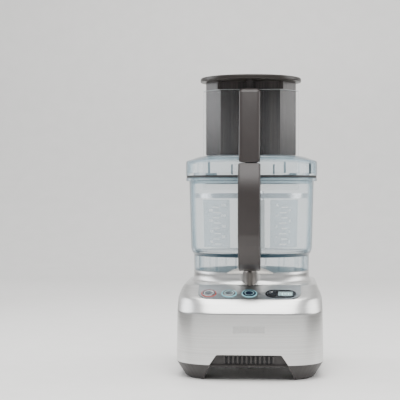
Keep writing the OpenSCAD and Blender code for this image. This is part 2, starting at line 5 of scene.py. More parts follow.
import bmesh
import bpy
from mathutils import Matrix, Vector


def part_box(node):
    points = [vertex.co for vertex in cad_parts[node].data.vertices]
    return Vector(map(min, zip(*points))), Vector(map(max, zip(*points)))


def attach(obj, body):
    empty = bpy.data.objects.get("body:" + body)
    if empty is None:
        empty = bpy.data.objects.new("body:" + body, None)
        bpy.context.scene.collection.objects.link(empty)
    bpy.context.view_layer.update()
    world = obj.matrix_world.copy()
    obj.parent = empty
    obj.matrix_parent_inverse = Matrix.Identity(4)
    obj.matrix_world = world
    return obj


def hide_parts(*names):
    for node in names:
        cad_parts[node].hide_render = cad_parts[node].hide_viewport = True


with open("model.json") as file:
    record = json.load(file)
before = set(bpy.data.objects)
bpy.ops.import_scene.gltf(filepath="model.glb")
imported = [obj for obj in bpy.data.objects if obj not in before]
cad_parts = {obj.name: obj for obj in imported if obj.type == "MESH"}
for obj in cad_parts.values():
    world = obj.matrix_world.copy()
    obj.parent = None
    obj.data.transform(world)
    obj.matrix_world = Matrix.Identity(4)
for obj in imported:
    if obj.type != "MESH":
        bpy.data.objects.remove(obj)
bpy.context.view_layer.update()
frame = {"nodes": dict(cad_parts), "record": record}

MM = 0.001
joints = {j["name"]: j for j in frame["record"]["behaviour"]["joints"]}
AXIS_Y = joints["motor_spin"]["pos_m"][1]
FRONT = math.radians(-90)


# ---------------------------------------------------------------- helpers
def box_mm(node):
    lo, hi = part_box(node)
    return Vector(lo) / MM, Vector(hi) / MM


def ahead(x, f, z):
    """Point x mm to the right, f mm in front of the bowl's axis and z mm up."""
    return Vector((x * MM, AXIS_Y - f * MM, z * MM))


def around(r, a, z, f=0.0):
    """Point at radius r mm and angle a from an axis f mm in front of the bowl's."""
    return Vector((r * MM * math.cos(a), AXIS_Y - f * MM + r * MM * math.sin(a), z * MM))


def object_from(name, verts, faces, material, angle=35):
    mesh = bpy.data.meshes.new(name)
    mesh.from_pydata([tuple(v) for v in verts], [], faces)
    mesh.update()
    bm = bmesh.new()
    bm.from_mesh(mesh)
    bmesh.ops.remove_doubles(bm, verts=bm.verts, dist=1e-6)
    bmesh.ops.recalc_face_normals(bm, faces=bm.faces)
    bm.to_mesh(mesh)
    bm.free()
    obj = bpy.data.objects.new(name, mesh)
    bpy.context.scene.collection.objects.link(obj)
    mesh.materials.append(material)
    mesh.shade_smooth()
    mesh.set_sharp_from_angle(angle=math.radians(angle))
    return obj


def place(obj, body, slot, *nodes):
    """Puts a piece on its body, in place of the CAD nodes named."""
    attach(obj, body)
    if nodes:
        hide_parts(*nodes)
    return obj


def loft(name, rings, material, closed=False, angle=35):
    """Skin over rings that all have the same number of points, capped unless it closes on itself."""
    n = len(rings[0])
    verts = [p for ring in rings for p in ring]
    faces = []
    last = len(rings) if closed else len(rings) - 1
    for i in range(last):
        a, b = i * n, ((i + 1) % len(rings)) * n
        for j in range(n):
            k = (j + 1) % n
            faces.append((a + j, a + k, b + k, b + j))
    if not closed:
        faces.append(tuple(range(n)))
        faces.append(tuple(range((len(rings) - 1) * n, len(rings) * n)))
    return object_from(name, verts, faces, material, angle=angle)


def revolve(name, profile, material, f=0.0, n=160):
    """Turned solid: profile is a closed loop of (radius, height) in mm, about an axis f mm ahead."""
    rings = [[around(r, 2 * math.pi * i / n, z, f) for r, z in profile] for i in range(n)]
    return loft(name, rings, material, closed=True)


def fillet(points, radii, steps=5):
    """Outline with each corner rounded by its own radius."""
    out = []
    n = len(points)
    for i, p in enumerate(points):
        r = radii[i] if isinstance(radii, (list, tuple)) else radii
        p = Vector(p)
        if r <= 0:
            out.append(p)
            continue
        a, b = Vector(points[i - 1]) - p, Vector(points[(i + 1) % n]) - p
        half = a.angle(b) / 2
        back = min(r / math.tan(half), a.length * 0.49, b.length * 0.49)
        start, end = p + a.normalized() * back, p + b.normalized() * back
        for k in range(steps + 1):
            t = k / steps
            out.append((1 - t) ** 2 * start + 2 * t * (1 - t) * p + t * t * end)
    return out


def inset(points, d):
    """An anticlockwise outline with every side moved in by d."""
    out = []
    n = len(points)
    for i in range(n):
        e0 = (points[i] - points[i - 1]).normalized()
        e1 = (points[(i + 1) % n] - points[i]).normalized()
        n0, n1 = Vector((-e0.y, e0.x)), Vector((-e1.y, e1.x))
        out.append(points[i] + (n0 + n1) * (d / max(0.35, 1 + n0.dot(n1))))
    return out


def even(points, n):
    """The closed outline resampled to n points, equally far apart."""
    pts = [Vector(p) for p in points]
    lengths = [(pts[(i + 1) % len(pts)] - pts[i]).length for i in range(len(pts))]
    step, out, i, done = sum(lengths) / n, [], 0, 0.0
    for k in range(n):
        while done + lengths[i] < k * step and i < len(pts) - 1:
            done += lengths[i]
            i += 1
        t = min((k * step - done) / max(lengths[i], 1e-9), 1)
        out.append(pts[i].lerp(pts[(i + 1) % len(pts)], t))
    return out


def area(points):
    """Signed area of an outline, above zero when it runs anticlockwise."""
    return sum(points[i - 1].cross(points[i]) for i in range(len(points))) / 2


def pillow(name, side, half_w, crown, material):
    """A side outline of (f, z) run across the width; crown lists (share of half_w, inset in mm)."""
    if area(side) < 0:
        side = side[::-1]
    end_ring = (1.0, crown[0][1] + 0.8)
    crown = [end_ring] + crown
    steps = [(-share, d) for share, d in crown] + [(share, d) for share, d in reversed(crown) if share > 0]
    rings = [[ahead(share * half_w, p.x, p.y) for p in inset(side, d)] for share, d in steps]
    return loft(name, rings, material, angle=50)


def cut(obj, cutter, solver="EXACT"):
    """Takes the cutter's shape out of the object and deletes the cutter."""
    m = obj.modifiers.new("cut", "BOOLEAN")
    m.object, m.operation, m.solver = cutter, "DIFFERENCE", solver
    apply(obj)
    bpy.data.objects.remove(cutter)


def side_cut(obj, outline, half_w, solver="EXACT"):
    """Cuts a side outline of (f, z) through the middle of the object."""
    rings = [[ahead(x, f, z) for f, z in outline] for x in (-half_w, half_w)]
    cut(obj, loft("side_cutter", rings, obj.data.materials[0]), solver)


def refinish(obj, material, angle):
    """One material and fresh shading on a mesh that has been cut."""
    obj.data.materials.clear()
    obj.data.materials.append(material)
    obj.data.shade_smooth()
    obj.data.set_sharp_from_angle(angle=math.radians(angle))


def apply(obj):
    """Bakes the object's modifiers into its mesh."""
    deps = bpy.context.evaluated_depsgraph_get()
    mesh = bpy.data.meshes.new_from_object(obj.evaluated_get(deps))
    obj.modifiers.clear()
    obj.data = mesh


def prism(name, outline, z0, z1, material):
    """Upright prism over an outline of (x, y) mm about the bowl's axis."""
    rings = [[ahead(p.x, -p.y, z) for p in outline] for z in (z0, z1)]
    return loft(name, rings, material)


def join(objects, name):
    """One mesh from several objects."""
    bm = bmesh.new()
    for o in objects:
        bm.from_mesh(o.data)
    mesh = bpy.data.meshes.new(name)
    bm.to_mesh(mesh)
    bm.free()
    for m in objects[0].data.materials:
        mesh.materials.append(m)
    for o in objects:
        bpy.data.objects.remove(o)
    obj = bpy.data.objects.new(name, mesh)
    bpy.context.scene.collection.objects.link(obj)
    return obj


def circle(x, y, r, n=64):
    angles = [2 * math.pi * i / n for i in range(n)]
    return [Vector((x + r * math.cos(a), y + r * math.sin(a))) for a in angles]


def rounded_box(x, y, w, h, r, steps=6):
    pts = [(x - w / 2, y - h / 2), (x + w / 2, y - h / 2), (x + w / 2, y + h / 2), (x - w / 2, y + h / 2)]
    return fillet(pts, r, steps)


# ---------------------------------------------------------------- materials
class Shader:
    """Short way to wire a node material."""

    def __init__(self, name):
        self.mat = bpy.data.materials.new(name)
        self.mat.use_nodes = True
        self.tree = self.mat.node_tree
        self.bsdf = self.tree.nodes["Principled BSDF"]

    def node(self, kind, **values):
        n = self.tree.nodes.new(kind)
        for key, value in values.items():
            if key in n.inputs:
                n.inputs[key].default_value = value
            else:
                setattr(n, key, value)
        return n

    def link(self, a, out, b, into):
        self.tree.links.new(a.outputs[out], b.inputs[into])

    def set(self, **values):
        for key, value in values.items():
            self.bsdf.inputs[key.replace("_", " ")].default_value = value
        return self

    def noise(self, scale, stretch=(1, 1, 1), detail=4.0, rough=0.55):
        coords = self.node("ShaderNodeTexCoord")
        mapping = self.node("ShaderNodeMapping")
        mapping.inputs["Scale"].default_value = stretch
        self.link(coords, "Object", mapping, "Vector")
        tex = self.node("ShaderNodeTexNoise", Scale=scale, Detail=detail, Roughness=rough)
        self.link(mapping, "Vector", tex, "Vector")
        return tex

    def ramp(self, source, out, low, high, at=(0.3, 0.7)):
        r = self.node("ShaderNodeValToRGB")
        for stop, position, colour in zip(r.color_ramp.elements, at, (low, high)):
            stop.position = position
            stop.color = (*colour, 1)
        self.link(source, out, r, "Fac")
        return r

    def bump(self, source, out, strength, distance):
        b = self.node("ShaderNodeBump", Strength=strength, Distance=distance)
        self.link(source, out, b, "Height")
        self.link(b, "Normal", self.bsdf, "Normal")
        return b

    def vary(self, tex, low, high, at=(0.3, 0.7)):
        self.link(self.ramp(tex, "Fac", low, high, at), "Color", self.bsdf, "Base Color")

    def rough(self, tex, low, high):
        r = self.node("ShaderNodeMapRange")
        r.inputs["To Min"].default_value, r.inputs["To Max"].default_value = low, high
        self.link(tex, "Fac", r, "Value")
        self.link(r, "Result", self.bsdf, "Roughness")


def brushed(name, low, high, roughness, grain=(3, 3, 900)):
    """Metal with fine parallel scratches; grain is finest along the axis with the largest number."""
    s = Shader(name).set(Metallic=1.0, Anisotropic=0.5)
    fine = s.noise(1.0, grain, 3.0)
    broad = s.noise(14.0)
    mix = s.node("ShaderNodeMix", data_type="FLOAT")
    mix.inputs[0].default_value = 0.3
    s.link(fine, "Fac", mix, 2)
    s.link(broad, "Fac", mix, 3)
    s.link(s.ramp(mix, 0, low, high, (0.35, 0.65)), "Color", s.bsdf, "Base Color")
    s.rough(fine, *roughness)
    s.bump(fine, "Fac", 0.05, 0.0002)
    return s.mat


def moulded(name, low, high, roughness, grain=2600.0, bump=0.12, spec=0.5):
    """Plastic, rubber or cast metal with a fine grain."""
    s = Shader(name)
    s.bsdf.inputs["Specular IOR Level"].default_value = spec
    s.vary(s.noise(22.0), low, high)
    tex = s.noise(grain, detail=2.0)
    s.rough(tex, *roughness)
    s.bump(tex, "Fac", bump, 0.0002)
    return s.mat


def clear(name, tint, edge, face_alpha, edge_alpha, roughness=0.03, span=(0.3, 0.8)):
    """Clear plastic that darkens where it is seen edge-on."""
    s = Shader(name).set(Roughness=roughness, IOR=1.49)
    s.bsdf.inputs["Specular IOR Level"].default_value = 0.3
    facing = s.node("ShaderNodeLayerWeight", Blend=0.5)
    grey = s.ramp(facing, "Facing", (face_alpha,) * 3, (edge_alpha,) * 3, span)
    s.link(grey, "Color", s.bsdf, "Alpha")
    s.link(s.ramp(facing, "Facing", tint, edge, span), "Color", s.bsdf, "Base Color")
    s.bump(s.noise(30.0, detail=2.0), "Fac", 0.012, 0.001)
    return s.mat


def glowing(name, colour, strength, base=None):
    """Lit mark or ring: base is its colour when dark."""
    s = Shader(name).set(Roughness=0.25)
    tex = s.noise(160.0)
    s.vary(tex, tuple(c * 0.85 for c in (base or colour)), base or colour)
    s.bsdf.inputs["Emission Color"].default_value = (*colour, 1)
    s.bsdf.inputs["Emission Strength"].default_value = strength
    return s.mat


def streaked(name, low, high, roughness):
    """Plastic with fine upright flow lines."""
    s = Shader(name)
    lines = s.noise(1.0, (420, 420, 1.5), 4.0, 0.7)
    s.vary(lines, low, high, (0.38, 0.62))
    s.rough(s.noise(90.0), *roughness)
    s.bump(lines, "Fac", 0.08, 0.0003)
    return s.mat


def shaded_boss(name, low, high):
    """Brushed metal with a painted dark reflection of the handle in the middle of the machine, silver to each
    side.
    """
    s = Shader(name).set(Metallic=1.0)
    split = s.node("ShaderNodeSeparateXYZ")
    s.link(s.node("ShaderNodeTexCoord"), "Object", split, "Vector")
    side = s.node("ShaderNodeMath", operation="ABSOLUTE")
    s.link(split, "X", side, 0)
    # Dark where |x| is small: a painted reflection of the handle, silver further out.
    s.link(s.ramp(side, "Value", low, high, (0.007, 0.0145)), "Color", s.bsdf, "Base Color")
    s.rough(s.noise(1.0, (3, 3, 900), 3.0), 0.3, 0.38)
    return s.mat


silver = brushed("brushed_silver", (0.63, 0.63, 0.62), (0.73, 0.73, 0.72), (0.27, 0.33))
# Lighter, warmer copy of the brushed silver: a painted highlight on the collar's arched lip.
collar_lip_painted_highlight = brushed("collar_lip_painted_highlight", (0.74, 0.72, 0.68), (0.82, 0.80, 0.76), (0.38, 0.46))
panel_metal = brushed("panel_satin", (0.40, 0.41, 0.42), (0.46, 0.47, 0.48), (0.30, 0.38), (3, 3, 500))
badge_metal = brushed("badge_metal", (0.46, 0.46, 0.46), (0.55, 0.55, 0.54), (0.2, 0.28), (700, 3, 3))
button_metal = brushed("button_metal", (0.27, 0.27, 0.28), (0.38, 0.38, 0.39), (0.22, 0.3), (400, 400, 3))
steel = brushed("machined_steel", (0.5, 0.5, 0.52), (0.62, 0.62, 0.64), (0.25, 0.35))
disc_steel = brushed("disc_steel", (0.62, 0.63, 0.65), (0.74, 0.75, 0.77), (0.2, 0.28), (300, 300, 3))
charcoal = moulded("charcoal_plastic", (0.024, 0.019, 0.018), (0.032, 0.026, 0.025), (0.30, 0.38))
cap_grey = moulded("cap_plastic", (0.020, 0.017, 0.015), (0.028, 0.024, 0.022), (0.26, 0.34), spec=0.25)
pan_plastic = moulded("pan_plastic", (0.026, 0.023, 0.022), (0.036, 0.032, 0.031), (0.42, 0.52))
rubber = moulded("black_rubber", (0.012, 0.012, 0.013), (0.02, 0.02, 0.021), (0.55, 0.7), bump=0.25)
gloss_black = moulded("gloss_black", (0.012, 0.012, 0.014), (0.02, 0.02, 0.022), (0.08, 0.14), bump=0.02)
navy_gloss = moulded("navy_gloss", (0.008, 0.014, 0.03), (0.012, 0.02, 0.042), (0.08, 0.14), bump=0.02)
pale_plastic = moulded("pale_plastic", (0.62, 0.62, 0.6), (0.7, 0.7, 0.68), (0.35, 0.45))
board_green = moulded("board_green", (0.01, 0.09, 0.04), (0.02, 0.13, 0.06), (0.2, 0.3))
copper = moulded("copper_wire", (0.4, 0.13, 0.05), (0.55, 0.2, 0.08), (0.25, 0.35))
bronze = moulded("bronze", (0.4, 0.26, 0.1), (0.5, 0.33, 0.14), (0.3, 0.4))
iron = moulded("motor_iron", (0.2, 0.2, 0.21), (0.28, 0.28, 0.3), (0.35, 0.5))
clear_blue = clear("clear_plastic", (0.58, 0.81, 0.93), (0.008, 0.045, 0.075), 0.10, 0.96, span=(0.6, 0.88))
chute_clear = clear("chute_plastic", (0.62, 0.80, 0.88), (0.10, 0.2, 0.26), 0.012, 0.6, span=(0.6, 0.98))
edge_teal = moulded("edge_teal", (0.004, 0.03, 0.05), (0.008, 0.045, 0.07), (0.1, 0.16), bump=0.02)
# Pale sheet material that paints the reflections of bright windows on the bowl's wall.
scale_reflection_sheet = clear("scale_painted_reflection", (0.44, 0.54, 0.60), (0.40, 0.50, 0.56), 0.34, 0.45, roughness=0.4)
plug_clear = clear("plug_plastic", (0.72, 0.86, 0.93), (0.5, 0.66, 0.74), 0.66, 0.85)
# Whitish ring material that paints the highlight along the chute's top edge.
chute_lip_highlight = clear("chute_lip_painted_highlight", (0.93, 0.96, 0.97), (0.8, 0.85, 0.87), 0.5, 0.7)
print_white = moulded("print_white", (0.82, 0.83, 0.84), (0.9, 0.91, 0.92), (0.4, 0.5))
red_glow = glowing("red_ring", (0.75, 0.16, 0.14), 0.12, (0.40, 0.10, 0.09))
cyan_glow = glowing("cyan_ring", (0.25, 0.68, 0.76), 0.22, (0.25, 0.55, 0.62))
white_glow = glowing("white_mark", (1.0, 0.97, 0.93), 0.3)
lcd_glow = glowing("lcd_back", (0.14, 0.32, 0.33), 0.25, (0.16, 0.32, 0.33))
lcd_digit = glowing("lcd_digit", (0.5, 0.78, 0.78), 0.5)
window_clear = clear("display_glass", (0.8, 0.9, 0.9), (0.3, 0.4, 0.4), 0.05, 0.5)
pusher_grey = streaked("pusher_plastic", (0.011, 0.008, 0.008), (0.044, 0.034, 0.033), (0.30, 0.36))
# Boss metal whose dark middle is a painted reflection of the handle.
boss_painted_reflection = shaded_boss("boss_painted_reflection", (0.15, 0.14, 0.13), (0.66, 0.66, 0.65))

NODE_MATERIALS = {
    "base_pan": pan_plastic, "rubber_feet": rubber, "pan_screws": steel, "badge_plate": badge_metal,
    "control_panel": panel_metal, "off_button_ring": red_glow, "start_button_ring": cyan_glow,
    "pulse_button_ring": cyan_glow, "off_button": button_metal, "start_button": button_metal,
    "pulse_button": button_metal, "timer_rocker": gloss_black, "display_bezel": gloss_black,
    "display_window": window_clear, "display_module": lcd_glow, "control_board": board_green,
    "tactile_switches": gloss_black, "motor_stator": iron, "motor_windings": copper,
    "motor_end_bell_top": steel, "motor_end_bell_bottom": steel, "motor_bolts": steel,
    "motor_mounts": rubber, "upper_bearing": steel, "lower_bearing": steel, "shaft_seal": rubber,
    "run_capacitor": pale_plastic, "interlock_switch": gloss_black, "interlock_plunger": steel,
    "cord_gland": rubber, "motor_rotor": iron, "motor_shaft": steel, "cooling_fan": pale_plastic,
    "drive_coupling": steel, "handle_cover": charcoal, "handle_screws": steel, "handle_rod": steel,
    "disc_spindle": pale_plastic, "slicing_disc": disc_steel, "slicer_blade": steel,
    "lid_seal": rubber, "lid_bush": bronze, "interlock_rod": steel, "interlock_spring": steel,
    "small_pusher": pusher_grey,
}
for node_name, material in NODE_MATERIALS.items():
    mesh = frame["nodes"][node_name].data
    mesh.materials.clear()
    mesh.materials.append(material)

# ---------------------------------------------------------------- base housing
RING_POINTS = 240


def rounded_reach(angle, half_w, front, rear, corner):
    """Distance in mm from the bowl's axis to a rounded rectangle's edge, in one direction."""
    dx, dy = math.cos(angle), math.sin(angle)
    axis = AXIS_Y / MM
    lo, hi = 0.0, 260.0
    cy, half_d = (front + rear) / 2, (rear - front) / 2
    for _ in range(30):
        mid = (lo + hi) / 2
        qx = abs(dx * mid) - half_w + corner
        qy = abs(axis + dy * mid - cy) - half_d + corner
        outside = math.hypot(max(qx, 0), max(qy, 0)) + min(max(qx, qy), 0) - corner
        lo, hi = (mid, hi) if outside < 0 else (lo, mid)
    return lo


def ring_at(z, reach):
    """Ring at height z whose radius is reach, a function of the angle."""
    angles = [2 * math.pi * i / RING_POINTS for i in range(RING_POINTS)]
    return [around(reach(a), a, z) for a in angles]


def housing():
    """Silver shell: its walls and shoulder, the deck, the collar, the hub, and back up the inside."""
    foot_z = box_mm("base_housing")[0].z
    axis = AXIS_Y / MM
    # Height, half width, front and rear in y, and corner radius.
    sections = [
        (foot_z, 104.5, -133, 133, 57.5), (60, 104.0, -132.8, 132.4, 57.2),
        (91, 103.5, -132.6, 131.6, 57), (92.8, 103.45, -132.5, 131.5, 57),
        (93.8, 103.4, -132.1, 131.4, 57), (94.5, 103.35, -131.6, 131.2, 57),
        (95.2, 103.3, -131.0, 131, 57), (103, 103.1, axis - 141.6, 129, 54.5),
        (109.6, 102.7, axis - 135.3, 126.6, 52.5), (111.4, 102.4, axis - 133.2, 125.6, 52),
        (112.6, 102.1, axis - 131.4, 125, 51.5), (115.5, 101.3, axis - 124.8, 122.6, 48),
        (119, 100.0, axis - 116.7, 119.8, 44), (123, 98.2, axis - 107.4, 116.8, 39),
        (126.2, 96.6, axis - 100, 114.4, 35), (127.8, 95.4, axis - 96.3, 113, 32),
        (128.6, 94.2, axis - 94.4, 111.6, 30),
    ]
    rings = [
        ring_at(z, lambda a, s=(w, y0, y1, r): rounded_reach(a, *s)) for z, w, y0, y1, r in sections
    ]
    deck = (91.5, axis - 92.6, 109, 29)
    collar_foot_r = 90.5
    for t, z in ((0.0, 128.95), (0.5, 129.05), (1.0, 129.15)):
        rings.append(ring_at(z, lambda a, t=t: (1 - t) * rounded_reach(a, *deck) + t * min(
            collar_foot_r, rounded_reach(a, *deck))))
    for r, z in ((90.0, 129.9), (88.4, 131.0), (87.2, 132.6), (86.5, 134.6), (86.1, 137.2), (86, 140),
                 (86, 143.9), (85.75, 144.6), (85.2, 145), (83.6, 145), (83.1, 144.6), (83, 143.8),
                 (83, 132.2), (22, 132.2), (22, 148.4), (21.4, 149), (13.2, 149), (13, 148.6), (13, 128),
                 (13, 127.8), (40, 126.4), (88, 126.4)):
        rings.append(ring_at(z, lambda a, r=r: r))
    inner = [(121, 94, axis - 103, 112, 40), (110, 98.5, axis - 128, 121, 48),
             (94, 100, -129, 128.5, 54), (foot_z, 101.4, -130, 130, 55)]
    for z, w, y0, y1, r in inner:
        rings.append(ring_at(z, lambda a, s=(w, y0, y1, r): rounded_reach(a, *s)))
    obj = loft("housing_shell", rings, silver, closed=True, angle=28)
    notch = [(55.5, 21), (54.6, 22), (45.6, 35.2), (43.8, 36)]
    notch = [(-55.5, 21)] + notch + [(-x, z) for x, z in notch[:0:-1]]
    cutter_rings = [[ahead(x, f, z) for x, z in notch] for f in (200, -200)]
    cut(obj, loft("notch_cutter", cutter_rings, silver))
    cut(obj, on_panel_prism("panel_cutter", panel_outline(0.25), -2.05, 12))
    holes = [circle(x, CONTROLS_Y, 9.7) for x, _ in BUTTONS.values()] + [
        circle(ROCKER_X, CONTROLS_Y, 8.6), rounded_box(LCD_X, CONTROLS_Y, 20.8, 12.8, 1)]
    for hole in holes:
        cut(obj, on_panel_prism("hole_cutter", hole, -12, 5))
    refinish(obj, silver, 28)
    place(obj, "base", "brushed_silver", "base_housing")


# Panel frame: x to the right, y up the slope, z out of it. The rocker's pivot in the record places it.
CONTROLS_Y = -5.3
ROCKER_X, LCD_X = 31.5, 50.5
PANEL_UP = -Vector(joints["off_press"]["axis"]).normalized()
PANEL_BACK = PANEL_UP.cross(Vector((1, 0, 0)))
ROCKER_PIVOT = joints["timer_rock"]["pos_m"]
PANEL_MID = Vector((0, ROCKER_PIVOT[1], ROCKER_PIVOT[2])) - PANEL_BACK * CONTROLS_Y * MM


def on_panel(x, y, z=0.0):
    return PANEL_MID + Vector((1, 0, 0)) * x * MM + PANEL_BACK * y * MM + PANEL_UP * z * MM


BUTTONS = {"off": (-57, red_glow), "start": (-28.5, cyan_glow), "pulse": (0, cyan_glow)}


def panel_outline(grow):
    w, d = 72 + grow, 21.3 + grow
    return fillet([(-w, -d), (w, -d), (w, d), (-w, d)], [20, 20, 0.4, 0.4], 10)


def on_panel_prism(name, outline, z0, z1, material=silver):
    rings = [[on_panel(p.x, p.y, z) for p in outline] for z in (z0, z1)]
    return loft(name, rings, material)


def on_panel_turned(name, profile, x, material, n=72):
    """Turned piece in the row of controls: profile is a closed loop of (radius, height) in mm."""
    rings = []
    for i in range(n):
        a = 2 * math.pi * i / n
        rings.append([on_panel(x + r * math.cos(a), CONTROLS_Y + r * math.sin(a), z) for r, z in profile])
    return loft(name, rings, material, closed=True)


housing()


def interlock_lip():
    """Arched lip on the front of the collar, in a lighter, warmer silver that paints the highlight on its
    top.
    """
    half, rise, foot_z = 33.0, 9.4, 145
    arc = (half * half + rise * rise) / (2 * rise)
    rings = []
    for i in range(61):
        x = half * (i / 30 - 1)
        top = foot_z + rise - arc + math.sqrt(max(arc * arc - x * x, 0))
        outer, inner, low = (math.sqrt(r * r - x * x) for r in (87.6, 86.7, 85.4))
        e = min(0.4, max((top - foot_z) * 0.3, 0.03))
        section = [(low, 143.4), (outer - 1.2, 143.6), (outer - 0.4, 144), (outer, 144.8), (outer, top - e),
                   (outer - 0.3 * e, top - 0.3 * e), (outer - e, top), (inner + e, top),
                   (inner + 0.3 * e, top - 0.3 * e), (inner, top - e), (inner, 144.6), (low, 144)]
        rings.append([ahead(x, f, z) for f, z in section])
    place(loft("interlock_lip", rings, collar_lip_painted_highlight, angle=40), "base", "brushed_silver")


def plunger_boss():
    """Boss on the collar behind the handle's foot, rounded off at its top."""
    collar_r, collar_z, dome_z, reach, width = 86.1, 145, 147, 9.6, 7.5
    back = [(-9, 85.2), (9, 85.2)]
    rings = []
    for z in (127, 135, 145, 148, 150, 151.4, 152.4, 152.9):
        swell = math.sqrt(max(1 - max((z - dome_z) / 6.1, 0) ** 2, 0))
        front = [(x, math.sqrt(collar_r ** 2 - x * x) + reach * swell * math.exp(-((x / width) ** 2)))
                 for x in (0.75 * k for k in range(20, -21, -1))]
        if z > collar_z:
            front = [(x, f) for x, f in front if abs(x) < 9.1]
        rings.append([ahead(x, f, z) for x, f in even(front + back, 60)])
    # Its material paints the handle's dark reflection onto the boss's middle.
    place(loft("plunger_boss", rings, boss_painted_reflection, angle=40), "base", "brushed_silver")


interlock_lip()
plunger_boss()


def vent_row(name, count, pitch, section, front, rear, material):
    """Upright bars side by side across the vent: section is (x, z), front and rear are y, all in mm."""
    bars = []
    for i in range(count):
        x = (i - (count - 1) / 2) * pitch
        rings = [[Vector(((x + a) * MM, y * MM, z * MM)) for a, z in section] for y in (front, rear)]
        bars.append(loft("bar", rings, material))
    place(join(bars, name), "base", "dark_plastic")


# Ribs with round lower ends in front of the pan's slots, and near-black bars behind them that paint the shade
# in the recess.
RIB_SECTION = [(-1.25, 34.6), (-1.25, 26.2), (-0.9, 24.9), (0, 24.4), (0.9, 24.9), (1.25, 26.2), (1.25, 34.6)]
vent_row("vent_ribs", 12, 6.2, RIB_SECTION, -131.2, -128.6, pan_plastic)
VENT_SHADE_SECTION = [(-1.2, 23.4), (1.2, 23.4), (1.2, 33.8), (-1.2, 33.8)]
vent_row("vent_painted_shade", 29, 2.5, VENT_SHADE_SECTION, -127.6, -127.0, rubber)


# ---------------------------------------------------------------- buttons and display
def ring_piece(name, x, glow):
    profile = [(9.5, 0), (10.9, 0), (10.8, 0.5), (10.5, 0.75), (9.9, 0.8), (9.6, 0.6)]
    slot = "red_ring" if name == "off" else "cyan_ring"
    ring = on_panel_turned(name + "_ring_glow", profile, x, glow)
    place(ring, "base", slot, name + "_button_ring")


def button_piece(name, x):
    profile = [(0.01, -8.2), (3, -8.2), (3, -2.5), (9.2, -2.5), (9.2, 0.9), (9.0, 1.3), (8.5, 1.5),
               (7.4, 1.35), (4, 0.85), (0.01, 0.7)]
    finish = navy_gloss if name == "pulse" else button_metal
    button = on_panel_turned(name + "_button_cap", profile, x, finish)
    place(button, name + "_button", "button_steel", name + "_button")
    mark = [(6.0, 1.14), (6.35, 1.19), (6.35, 1.26), (6.0, 1.21)]
    ring = on_panel_turned(name + "_button_mark", mark, x, white_glow if name == "off" else lcd_digit)
    place(ring, name + "_button", "display_panel")


for button_name, (button_x, ring_glow) in BUTTONS.items():
    ring_piece(button_name, button_x, ring_glow)
    button_piece(button_name, button_x)

SEGMENTS = {"0": "abcdef", "1": "bc", "2": "abged", "3": "abgcd", "4": "fgbc", "5": "afgcd", "6": "afgcde",
            "7": "abc", "8": "abcdefg", "9": "abfgcd"}


def lit_bars(digit, h, t):
    """Middle and size of each bar that a numeral h tall shows, with bars t thick."""
    w = h * 0.5
    bars = {
        "a": (0, h / 2, w, t), "d": (0, -h / 2, w, t), "g": (0, 0, w, t),
        "b": (w / 2, h / 4, t, h / 2), "c": (w / 2, -h / 4, t, h / 2),
        "f": (-w / 2, h / 4, t, h / 2), "e": (-w / 2, -h / 4, t, h / 2),
    }
    return [bars[k] for k in SEGMENTS[digit]]


def display_digits():
    """The timer's numerals, raised bars below the display's window."""
    height, gap, first_x, z = 6.4, 3.9, LCD_X - 6.2, -0.58
    thick = height * 0.13
    bars = []
    for i, digit in enumerate("1000"):
        x = first_x + i * gap + (0.8 if i > 1 else 0)
        for bx, by, bw, bh in lit_bars(digit, height, thick):
            outline = rounded_box(x + bx, CONTROLS_Y + by, bw, bh, thick * 0.4, 3)
            bars.append(on_panel_prism("bar", outline, z, z + 0.12, lcd_digit))
    place(join(bars, "display_digits"), "base", "display_panel")


def rocker_marks():
    """A plus on the rocker's rear half and a minus on its front half."""
    bars = [
        on_panel_prism("bar", rounded_box(ROCKER_X, CONTROLS_Y + y, w, h, 0.2, 3), 1.0, 1.15, print_white)
        for y, w, h in ((4.2, 3.4, 0.8), (4.2, 0.8, 3.4), (-4.2, 3.4, 0.8))
    ]
    place(join(bars, "rocker_marks"), "timer_rocker", "black_gloss")


display_digits()
rocker_marks()


# ---------------------------------------------------------------- clear bowl
def bowl_profile():
    """Outer wall from the skirt to the rim, then inner wall, floor, tube and the skirt's inside."""
    outer = [(82.3, 133.4), (82.5, 145.4), (85.6, 145.4), (86, 146), (86, 167.4), (86.6, 169.4),
             (88.3, 171.6), (89.8, 174.2), (90.5, 178), (90.9, 190), (91.6, 215), (92.4, 245), (93.2, 275),
             (93.4, 276.6), (94.6, 277.1), (97.4, 277.2), (98.1, 277.9), (98.2, 280), (98.1, 281.4),
             (97.3, 282)]
    inner = [(93.4, 282), (92.3, 281.2), (92.2, 278.6), (90.4, 275.2), (89.6, 245), (88.7, 215), (88, 190),
             (87.5, 180.4), (86.6, 176.4), (84.4, 173.8), (81.5, 173), (30, 173), (15.4, 173),
             (15, 174), (15, 221.4), (14.6, 222), (12.4, 222), (12, 221.4), (12, 170), (15.4, 170),
             (79.5, 170), (79.6, 133.4)]
    return outer + inner


place(revolve("bowl_clear", bowl_profile(), clear_blue), "bowl", "clear_plastic", "bowl")
floor_edge = [(85.7, 166.8), (86.25, 166.8), (86.4, 168.0), (87.1, 169.4), (88.7, 171.6), (88.2, 171.9),
              (86.6, 170.2), (85.7, 168.6)]
place(revolve("bowl_floor_edge", floor_edge, edge_teal), "bowl", "clear_plastic")
rim_edge = [(93.9, 277.15), (97.2, 277.3), (97.6, 277.9), (93.9, 277.9)]
place(revolve("bowl_rim_edge", rim_edge, edge_teal), "bowl", "clear_plastic")


